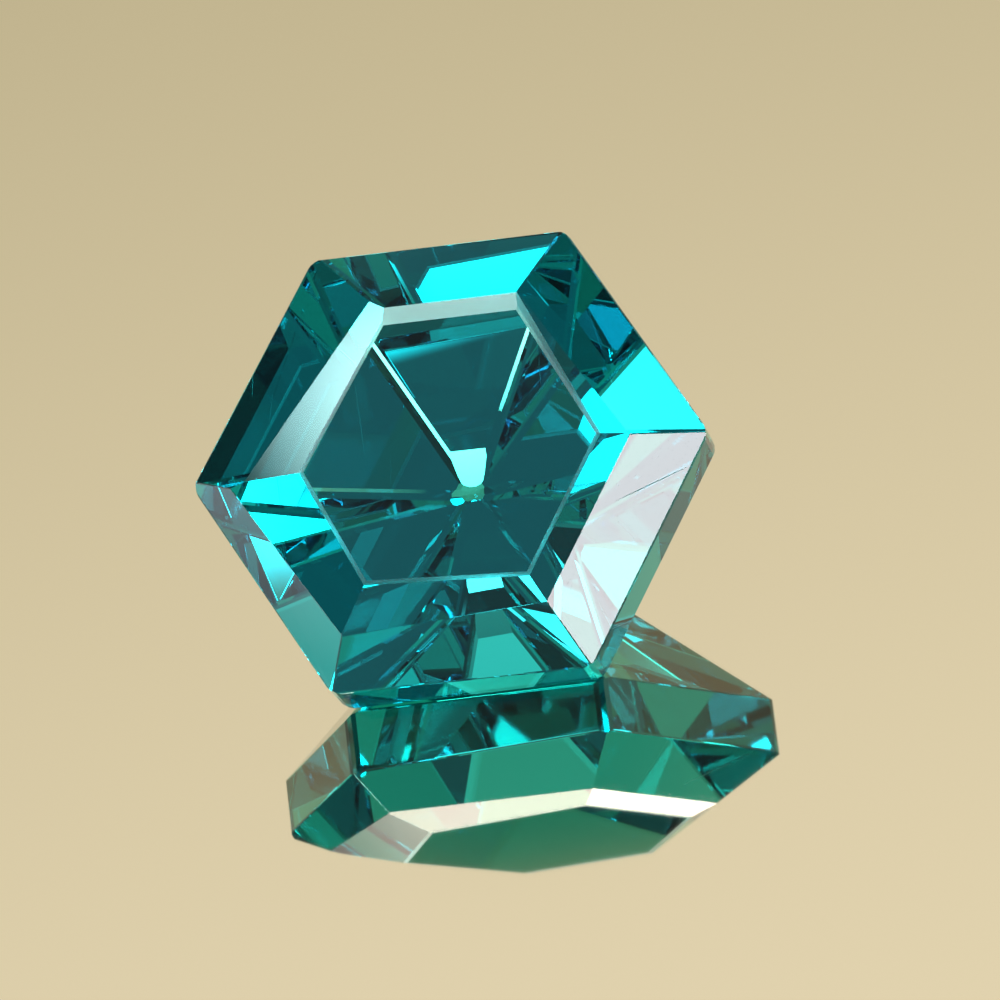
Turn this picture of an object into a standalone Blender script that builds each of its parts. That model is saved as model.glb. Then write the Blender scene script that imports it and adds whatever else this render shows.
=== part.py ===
"""A teal sapphire in a hexagonal step cut, lying at rest on one of its pavilion facets.

Units are metres and +Z is up. The stone is cut facet by facet in its own frame, where the
table faces +Z, the upper edge of the girdle lies at height zero and the distance from the
axis to a girdle corner is 1. It is then scaled to size and laid down.
"""

from math import cos, degrees, radians, sin

import bmesh
import bpy
import numpy as np
from mathutils import Matrix, Vector

GIRDLE_RADIUS = 3.25e-3  # metres, from the axis to a girdle corner

# Distances and heights are in girdle radii, slopes in degrees from the horizontal.
GIRDLE_DISTANCE = cos(radians(30.0))  # from the axis to a flat side of the girdle
GIRDLE_THICKNESS = 0.21
TABLE_HEIGHT = 0.20  # above the upper edge of the girdle
TABLE_DISTANCE = 0.50  # from the axis to an edge of the table
CROWN_SLOPE = 36.0
STEP_SLOPE = 20.0
PAVILION_SLOPE = 45.0

SIDES = ("north", "north_east", "south_east", "south", "south_west", "north_west")
FIRST_DIRECTION = 90.0  # degrees from +X towards +Y, and each side is a sixth of a turn on

# The stone is cut by hand, so a few facets depart from the regular cut.
UNEVEN_TABLE_DISTANCES = {"north_west": 0.43, "north_east": 0.53, "south_east": 0.54, "south": 0.52}
UNEVEN_STEP_TURNS = {"north_west": -2.0, "north_east": -2.0, "south": -3.0, "south_west": -4.0}
UNEVEN_STEP_SLOPES = {"north": 8.0}
UNEVEN_CROWN_TURNS = {"north_west": -4.0}
UNEVEN_CROWN_SLOPES = {"north_west": 27.0, "north": 33.0, "north_east": 33.0, "south_west": 40.0}
UNEVEN_PAVILION_TURNS = {"south": 3.0}
UNEVEN_PAVILION_SLOPES = {"south": 44.0}

# Polished edges are rounded a little. Each radius is in girdle radii.
EDGE_STRIPS = 3  # narrow flats that make up one rounded edge
CROWN_EDGE_RADIUS = 0.015
TABLE_EDGE_RADIUS = 0.070
GIRDLE_EDGE_RADIUS = 0.015
GIRDLE_CORNER_RADIUS = 0.080
PAVILION_EDGE_RADIUS = 0.080
CULET_RADIUS = 0.100
CULET_RINGS = 3  # rings of small flats that make up the rounded culet

# One pavilion facet curves gently into the culet, in a few flats of ever lower slope.
BLENDED_SIDE = "north"
BLEND_RADIUS = 0.27
BLEND_FLATS = 3
BLEND_LAST_SLOPE = 41.0

RESTS_ON = "south"  # the pavilion facet that the stone lies on

COLOUR = (0.010, 0.330, 0.340, 1.0)
ROUGHNESS = 0.0
METALLIC = 0.0
REFRACTIVE_INDEX = 1.77


def facet(direction, slope, distance, height):
    """The plane of a facet, as its outward normal and its offset from the origin."""
    turn, tilt = radians(direction), radians(slope)
    normal = Vector((sin(tilt) * cos(turn), sin(tilt) * sin(turn), cos(tilt)))
    point = Vector((distance * cos(turn), distance * sin(turn), height))
    return normal, normal.dot(point)


def main_facets():
    """The planes of all the large facets, by row and side."""
    planes = {"table": {}, "step": {}, "crown": {}, "girdle": {}, "pavilion": {}}
    for number, side in enumerate(SIDES):
        faces = FIRST_DIRECTION - number * 360.0 / len(SIDES)
        planes["table"][side] = (Vector((0.0, 0.0, 1.0)), TABLE_HEIGHT)
        planes["step"][side] = facet(
            faces + UNEVEN_STEP_TURNS.get(side, 0.0),
            UNEVEN_STEP_SLOPES.get(side, STEP_SLOPE),
            UNEVEN_TABLE_DISTANCES.get(side, TABLE_DISTANCE),
            TABLE_HEIGHT,
        )
        planes["crown"][side] = facet(
            faces + UNEVEN_CROWN_TURNS.get(side, 0.0),
            UNEVEN_CROWN_SLOPES.get(side, CROWN_SLOPE),
            GIRDLE_DISTANCE,
            0.0,
        )
        planes["girdle"][side] = facet(faces, 90.0, GIRDLE_DISTANCE, 0.0)
        planes["pavilion"][side] = facet(
            faces + UNEVEN_PAVILION_TURNS.get(side, 0.0),
            180.0 - UNEVEN_PAVILION_SLOPES.get(side, PAVILION_SLOPE),
            GIRDLE_DISTANCE,
            -GIRDLE_THICKNESS,
        )
    return planes


def rounding(planes, radius, normals):
    """Flats with these normals, touching a ball that is pressed into the corner of the planes."""
    rows = np.array([normal for normal, _ in planes])
    offsets = np.array([offset for _, offset in planes])
    centre = Vector(np.linalg.lstsq(rows, offsets - radius, rcond=None)[0])
    return [(normal, normal.dot(centre) + radius) for normal in normals]


def rounded_edge(first, second, radius):
    """The narrow flats that round the edge between two facets."""
    shares = [(strip + 1) / (EDGE_STRIPS + 1) for strip in range(EDGE_STRIPS)]
    normals = [first[0].slerp(second[0], share) for share in shares]
    return rounding([first, second], radius, normals)


def rounded_culet(pavilion):
    """The small flats that round the point where the pavilion facets meet."""
    down = Vector((0.0, 0.0, -1.0))
    facets = list(pavilion.values())
    neighbours = facets[1:] + facets[:1]
    around = [normal for normal, _ in facets]
    around += [(a[0] + b[0]).normalized() for a, b in zip(facets, neighbours)]
    shares = [(ring + 1) / (CULET_RINGS + 1) for ring in range(CULET_RINGS)]
    normals = [down] + [down.slerp(normal, share) for share in shares for normal in around]
    return rounding(facets, CULET_RADIUS, normals)


def blended_facet(pavilion):
    """The flats with which one pavilion facet curves into the culet."""
    down = Vector((0.0, 0.0, -1.0))
    normal = pavilion[BLENDED_SIDE][0]
    slope = degrees(down.angle(normal))
    drop = (slope - BLEND_LAST_SLOPE) / BLEND_FLATS
    slopes = [slope - (flat + 1) * drop for flat in range(BLEND_FLATS)]
    normals = [down.slerp(normal, lower / slope) for lower in slopes]
    return rounding(list(pavilion.values()), BLEND_RADIUS, normals)


def softened_edges(planes):
    """The flats that round every edge of the stone."""
    flats = rounded_culet(planes["pavilion"]) + blended_facet(planes["pavilion"])
    for side, neighbour in zip(SIDES, SIDES[1:] + SIDES[:1]):
        for row, radius in (
            ("step", CROWN_EDGE_RADIUS),
            ("crown", CROWN_EDGE_RADIUS),
            ("girdle", GIRDLE_CORNER_RADIUS),
            ("pavilion", PAVILION_EDGE_RADIUS),
        ):
            flats += rounded_edge(planes[row][side], planes[row][neighbour], radius)
        for upper, lower, radius in (
            ("table", "step", TABLE_EDGE_RADIUS),
            ("step", "crown", CROWN_EDGE_RADIUS),
            ("crown", "girdle", GIRDLE_EDGE_RADIUS),
            ("girdle", "pavilion", GIRDLE_EDGE_RADIUS),
        ):
            flats += rounded_edge(planes[upper][side], planes[lower][side], radius)
    return flats


def cut(stone, normal, offset):
    """Takes away all that lies in front of the plane and closes the cut with one flat face."""
    result = bmesh.ops.bisect_plane(
        stone,
        geom=stone.verts[:] + stone.edges[:] + stone.faces[:],
        dist=1e-6,
        plane_co=normal * offset,
        plane_no=normal,
        clear_outer=True,
    )
    rim = [item for item in result["geom_cut"] if isinstance(item, bmesh.types.BMEdge)]
    if len(rim) > 2:
        bmesh.ops.edgeloop_fill(stone, edges=rim)


def cut_stone(planes):
    """The stone as a closed mesh, cut from a block by its main facets and its softened edges."""
    stone = bmesh.new()
    bmesh.ops.create_cube(stone, size=4.0)
    cut(stone, *planes["table"]["north"])
    for row in ("girdle", "crown", "step", "pavilion"):
        for plane in planes[row].values():
            cut(stone, *plane)
    for flat in softened_edges(planes):
        cut(stone, *flat)
    bmesh.ops.recalc_face_normals(stone, faces=stone.faces)
    return stone


def lay_down(stone, rest_normal):
    """Scales the stone to size and sets it on its rest facet, centred over the origin."""
    turn = rest_normal.rotation_difference(Vector((0.0, 0.0, -1.0))).to_matrix().to_4x4()
    stone.transform(turn @ Matrix.Scale(GIRDLE_RADIUS, 4))
    low = Vector([min(vert.co[axis] for vert in stone.verts) for axis in range(3)])
    high = Vector([max(vert.co[axis] for vert in stone.verts) for axis in range(3)])
    middle = (low + high) / 2
    stone.transform(Matrix.Translation((-middle.x, -middle.y, -low.z)))


def crystal_material():
    """Clear, polished, deep teal crystal."""
    material = bpy.data.materials.new("sapphire_crystal")
    material.use_nodes = True
    shader = material.node_tree.nodes["Principled BSDF"]
    shader.inputs["Base Color"].default_value = COLOUR
    shader.inputs["Roughness"].default_value = ROUGHNESS
    shader.inputs["Metallic"].default_value = METALLIC
    shader.inputs["IOR"].default_value = REFRACTIVE_INDEX
    shader.inputs["Transmission Weight"].default_value = 1.0
    return material


def main():
    for old in list(bpy.data.objects):
        bpy.data.objects.remove(old)

    planes = main_facets()
    stone = cut_stone(planes)
    lay_down(stone, planes["pavilion"][RESTS_ON][0])

    mesh = bpy.data.meshes.new("sapphire")
    stone.to_mesh(mesh)
    stone.free()
    mesh.materials.append(crystal_material())
    bpy.context.scene.collection.objects.link(bpy.data.objects.new("sapphire", mesh))


main()
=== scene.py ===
"""The look of a deep teal sapphire: clear absorbing crystal on a polished floor, lit by soft boxes."""

from math import cos, hypot, pi, radians, tan

import bpy
from mathutils import Matrix, Vector

# Camera: where it is seen from the point it looks at, in degrees, with lengths in metres.
CAMERA_AZIMUTH = -77.0
CAMERA_ELEVATION = 28.0
CAMERA_DISTANCE = 0.070
CAMERA_AIM = (0.0006, -0.0006, 0.0020)
CAMERA_ROLL = -14.0
CAMERA_LENS = 205.0  # millimetres
CAMERA_SENSOR = 36.0  # millimetres, across
CAMERA_NEAR = 0.001

# Crystal.
REFRACTIVE_INDEX = 1.77
ABSORPTION_DENSITY = 750.0
ABSORPTION_COLOUR = (0.0, 0.895, 0.92, 1.0)
POLISH_ROUGHNESS = 0.0
WORN_ROUGHNESS = 0.40
WEAR_DEPTH = 0.00006  # how far below the table its worn rim reaches, in metres
WEAR_SLOPE = 1.0  # degrees from the table's own slope, and a worn face is steeper
SAME_FACET = 0.99999  # the least cosine between the normals of two faces of one facet

# Hairline scratches on the south-east side: the ends of each, in metres.
SCRATCHES = (
    ((0.00211, -0.00112, 0.00205), (0.00296, -0.00052, 0.00206)),
    ((0.00160, -0.00126, 0.00227), (0.00195, -0.00104, 0.00237)),
)
SCRATCH_WIDTH = 0.000016
SCRATCH_ROUGHNESS = 0.35

# Floor.
FLOOR_SIZE = 6.0
FLOOR_COLOUR = (0.86, 0.78, 0.64, 1.0)
FLOOR_ROUGHNESS = 0.03
FLOOR_GAP = 0.00002  # between the floor and the stone, in metres

# Soft boxes: azimuth and elevation from the stone, width and height, brightness and colour.
# The first four are in degrees.
LIGHT_DISTANCE = 0.30
SOFT_EDGE = 0.35  # the share of a soft box, from its rim inwards, over which it fades
LIGHTS = {
    "overhead": (155, 77, 32, 42, 8.0, (1.0, 0.95, 0.95)),
    "back_top": (80, 77, 20, 20, 8.0, (1.0, 1.0, 1.0)),
    "right_strip": (-36, 10, 9, 20, 8.0, (1.0, 0.95, 1.0)),
    "left_high": (-178, 58, 14, 14, 14.0, (0.55, 1.0, 1.0)),
    "left_back": (162, 56, 10, 8, 3.0, (0.8, 1.0, 1.0)),
    "left_low": (-164, 9, 30, 20, 2.0, (0.8, 0.95, 1.0)),
    "back_high": (113, 43, 8, 4, 1.5, (0.8, 1.0, 1.0)),
    "front_high": (-111, 52, 3, 3, 5.0, (0.8, 1.0, 1.0)),
    "right_top": (-79, 71, 8, 8, 5.0, (0.8, 1.0, 1.0)),
}

# Surround: a pale lower part that gives way to a dark upper part. The ranges are in degrees.
PALE_LOW = (0.52, 0.48, 0.32, 1.0)
PALE_HIGH = (0.90, 0.85, 0.68, 1.0)
PALE_RANGE = (15.0, 38.0)
DARK = (0.02, 0.025, 0.025, 1.0)
DARK_RANGE = (30.0, 40.0)
DARK_AXIS = (-80.0, 80.0)  # the direction that the dark part is centred on

# Round soft patches of the surround: azimuth, elevation and radius in degrees, and colour.
PATCH_EDGE = 5.0  # degrees over which a patch fades, on each side of its rim
PATCHES = {
    "front": (-90, 50, 45, (0.12, 0.16, 0.16)),
    "green": (-77, 57, 4, (0.15, 0.19, 0.12)),
    "left_dark": (160, 41, 12, (0.03, 0.03, 0.03)),
    "left_front_dark": (-147, 32, 8, (0.03, 0.03, 0.03)),
    "left_low_dark": (-167, 2, 10, (0.03, 0.03, 0.03)),
}

LIGHT_BOUNCES = 32


def direction(azimuth, elevation):
    """The unit vector that points at this azimuth and elevation."""
    turn = Matrix.Rotation(radians(azimuth), 3, "Z") @ Matrix.Rotation(-radians(elevation), 3, "Y")
    return turn @ Vector((1.0, 0.0, 0.0))


def new_material(name):
    """An empty material, with its nodes and links."""
    material = bpy.data.materials.new(name)
    material.use_nodes = True
    return material, material.node_tree.nodes, material.node_tree.links


def ramp_node(nodes, low, high, bottom=0.0, top=1.0):
    """A smooth step from bottom to top, as its input goes from low to high."""
    ramp = nodes.new("ShaderNodeMapRange")
    ramp.interpolation_type = "SMOOTHSTEP"
    ramp.inputs["From Min"].default_value = low
    ramp.inputs["From Max"].default_value = high
    ramp.inputs["To Min"].default_value = bottom
    ramp.inputs["To Max"].default_value = top
    return ramp


def facet_area(mesh, normal):
    """The area of all the faces that look this way, as a flat facet may be cut into triangles."""
    return sum(face.area for face in mesh.polygons if face.normal.dot(normal) > SAME_FACET)


def mark_wear(stone):
    """Marks the narrow faces along the rim of the table, the largest facet, as worn."""
    mesh = stone.data
    table = max(mesh.polygons, key=lambda face: facet_area(mesh, face.normal))
    up = table.normal.copy()
    top = up.dot(table.center)
    wear = mesh.attributes.new("wear", "FLOAT", "FACE")
    for face in mesh.polygons:
        depth = max(top - up.dot(mesh.vertices[index].co) for index in face.vertices)
        worn = depth < WEAR_DEPTH and up.dot(face.normal) < cos(radians(WEAR_SLOPE))
        wear.data[face.index].value = float(worn)


def scratch_node(nodes, links, ends):
    """Rough inside a narrow spindle that runs from one end to the other, and smooth outside it."""
    place = nodes.new("ShaderNodeTexCoord")
    total = nodes.new("ShaderNodeMath")
    for index, end in enumerate(ends):
        apart = nodes.new("ShaderNodeVectorMath")
        apart.operation = "DISTANCE"
        apart.inputs[1].default_value = end
        links.new(place.outputs["Object"], apart.inputs[0])
        links.new(apart.outputs["Value"], total.inputs[index])
    length = (ends[1] - ends[0]).length
    ramp = ramp_node(nodes, length, hypot(length, SCRATCH_WIDTH), SCRATCH_ROUGHNESS, 0.0)
    links.new(total.outputs["Value"], ramp.inputs["Value"])
    return ramp


def sapphire_material(stone):
    """Clear absorbing crystal that is rough where the stone is worn or scratched."""
    material, nodes, links = new_material("sapphire_crystal")
    shader = nodes["Principled BSDF"]
    shader.inputs["Base Color"].default_value = (1.0, 1.0, 1.0, 1.0)
    shader.inputs["IOR"].default_value = REFRACTIVE_INDEX
    shader.inputs["Transmission Weight"].default_value = 1.0

    wear = nodes.new("ShaderNodeAttribute")
    wear.attribute_name = "wear"
    rough = ramp_node(nodes, 0.0, 1.0, POLISH_ROUGHNESS, WORN_ROUGHNESS)
    links.new(wear.outputs["Fac"], rough.inputs["Value"])
    to_stone = stone.matrix_world.inverted()
    for points in SCRATCHES:
        ends = [stone.closest_point_on_mesh(to_stone @ Vector(point))[1] for point in points]
        either = nodes.new("ShaderNodeMath")
        either.operation = "MAXIMUM"
        links.new(rough.outputs[0], either.inputs[0])
        links.new(scratch_node(nodes, links, ends).outputs["Result"], either.inputs[1])
        rough = either
    links.new(rough.outputs[0], shader.inputs["Roughness"])

    absorption = nodes.new("ShaderNodeVolumeAbsorption")
    absorption.inputs["Color"].default_value = ABSORPTION_COLOUR
    absorption.inputs["Density"].default_value = ABSORPTION_DENSITY
    links.new(absorption.outputs["Volume"], nodes["Material Output"].inputs["Volume"])
    return material


def floor_material():
    material, nodes, _ = new_material("polished_floor")
    shader = nodes["Principled BSDF"]
    shader.inputs["Base Color"].default_value = FLOOR_COLOUR
    shader.inputs["Metallic"].default_value = 1.0
    shader.inputs["Roughness"].default_value = FLOOR_ROUGHNESS
    return material


def add_floor():
    bpy.ops.mesh.primitive_plane_add(size=FLOOR_SIZE, location=(0.0, 0.0, -FLOOR_GAP))
    floor = bpy.context.object
    floor.name = "floor"
    floor.data.materials.append(floor_material())


def add_world():
    world = bpy.data.worlds.new("studio")
    bpy.context.scene.world = world
    world.use_nodes = True
    nodes, links = world.node_tree.nodes, world.node_tree.links
    place = nodes.new("ShaderNodeTexCoord")

    def facing(axis, low, high):
        """A smooth step from 0 to 1 between two heights, in degrees, above the plane across the axis."""
        dot = nodes.new("ShaderNodeVectorMath")
        dot.operation = "DOT_PRODUCT"
        dot.inputs[1].default_value = axis
        links.new(place.outputs["Generated"], dot.inputs[0])
        ramp = ramp_node(nodes, direction(0.0, low).z, direction(0.0, high).z)
        links.new(dot.outputs["Value"], ramp.inputs["Value"])
        return ramp.outputs["Result"]

    def blend(share, first, second):
        """The first colour where the share is 0, and the second where it is 1."""
        mix = nodes.new("ShaderNodeMix")
        mix.data_type = "RGBA"
        links.new(share, mix.inputs["Factor"])
        for socket, colour in (("A", first), ("B", second)):
            if isinstance(colour, tuple):
                mix.inputs[socket].default_value = colour
            else:
                links.new(colour, mix.inputs[socket])
        return mix.outputs["Result"]

    pale = blend(facing((0.0, 0.0, 1.0), *PALE_RANGE), PALE_LOW, PALE_HIGH)
    colour = blend(facing(direction(*DARK_AXIS), *DARK_RANGE), pale, DARK)
    for azimuth, elevation, radius, tint in PATCHES.values():
        edge = min(PATCH_EDGE, radius / 2)
        share = facing(direction(azimuth, elevation), 90 - radius - edge, 90 - radius + edge)
        colour = blend(share, colour, (*tint, 1.0))
    links.new(colour, nodes["Background"].inputs["Color"])


def soften(light):
    """Makes the light fade towards the rim of its soft box."""
    light.use_nodes = True
    nodes, links = light.node_tree.nodes, light.node_tree.links
    place = nodes.new("ShaderNodeNewGeometry")
    split = nodes.new("ShaderNodeSeparateXYZ")
    links.new(place.outputs["Parametric"], split.inputs[0])
    fades = []
    for axis in ("X", "Y"):
        apart = nodes.new("ShaderNodeMath")
        apart.operation = "SUBTRACT"
        apart.inputs[1].default_value = 0.5
        links.new(split.outputs[axis], apart.inputs[0])
        size = nodes.new("ShaderNodeMath")
        size.operation = "ABSOLUTE"
        links.new(apart.outputs[0], size.inputs[0])
        fade = ramp_node(nodes, 0.5 * (1.0 - SOFT_EDGE), 0.5, 1.0, 0.0)
        links.new(size.outputs[0], fade.inputs["Value"])
        fades.append(fade)
    both = nodes.new("ShaderNodeMath")
    both.operation = "MULTIPLY"
    for index, fade in enumerate(fades):
        links.new(fade.outputs["Result"], both.inputs[index])
    links.new(both.outputs[0], nodes["Emission"].inputs["Strength"])


def add_light(name, azimuth, elevation, width, height, brightness, colour):
    """A softbox that faces the stone. Width and height are the angles it fills, seen from there."""
    light = bpy.data.lights.new(name, "AREA")
    light.shape = "RECTANGLE"
    light.size = 2 * LIGHT_DISTANCE * tan(radians(width / 2))
    light.size_y = 2 * LIGHT_DISTANCE * tan(radians(height / 2))
    light.energy = brightness * pi * light.size * light.size_y
    light.color = colour
    soften(light)
    away = direction(azimuth, elevation)
    lamp = bpy.data.objects.new(name, light)
    lamp.location = away * LIGHT_DISTANCE
    lamp.rotation_euler = away.to_track_quat("Z", "Y").to_euler()
    bpy.context.scene.collection.objects.link(lamp)


def add_camera():
    camera = bpy.data.cameras.new("camera")
    camera.lens = CAMERA_LENS
    camera.sensor_width = CAMERA_SENSOR
    camera.clip_start = CAMERA_NEAR
    away = direction(CAMERA_AZIMUTH, CAMERA_ELEVATION)
    place = Vector(CAMERA_AIM) + away * CAMERA_DISTANCE
    look = away.to_track_quat("Z", "Y").to_matrix()
    roll = Matrix.Rotation(radians(CAMERA_ROLL), 3, "Z")
    view = bpy.data.objects.new("camera", camera)
    view.matrix_world = Matrix.Translation(place) @ (look @ roll).to_4x4()
    bpy.context.scene.collection.objects.link(view)
    bpy.context.scene.camera = view


def set_rendering():
    scene = bpy.context.scene
    scene.view_settings.view_transform = "Standard"
    scene.cycles.max_bounces = LIGHT_BOUNCES
    scene.cycles.glossy_bounces = LIGHT_BOUNCES
    scene.cycles.transmission_bounces = LIGHT_BOUNCES


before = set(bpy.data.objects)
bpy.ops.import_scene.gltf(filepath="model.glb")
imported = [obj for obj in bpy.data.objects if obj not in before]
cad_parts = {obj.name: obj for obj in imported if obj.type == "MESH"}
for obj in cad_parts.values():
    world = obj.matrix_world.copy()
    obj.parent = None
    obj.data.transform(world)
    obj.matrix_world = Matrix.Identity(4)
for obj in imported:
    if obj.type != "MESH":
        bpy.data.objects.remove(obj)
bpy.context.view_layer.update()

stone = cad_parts["sapphire"]
mark_wear(stone)
stone.data.materials.clear()
stone.data.materials.append(sapphire_material(stone))

add_floor()
add_world()
for name, settings in LIGHTS.items():
    add_light(name, *settings)
add_camera()
set_rendering()
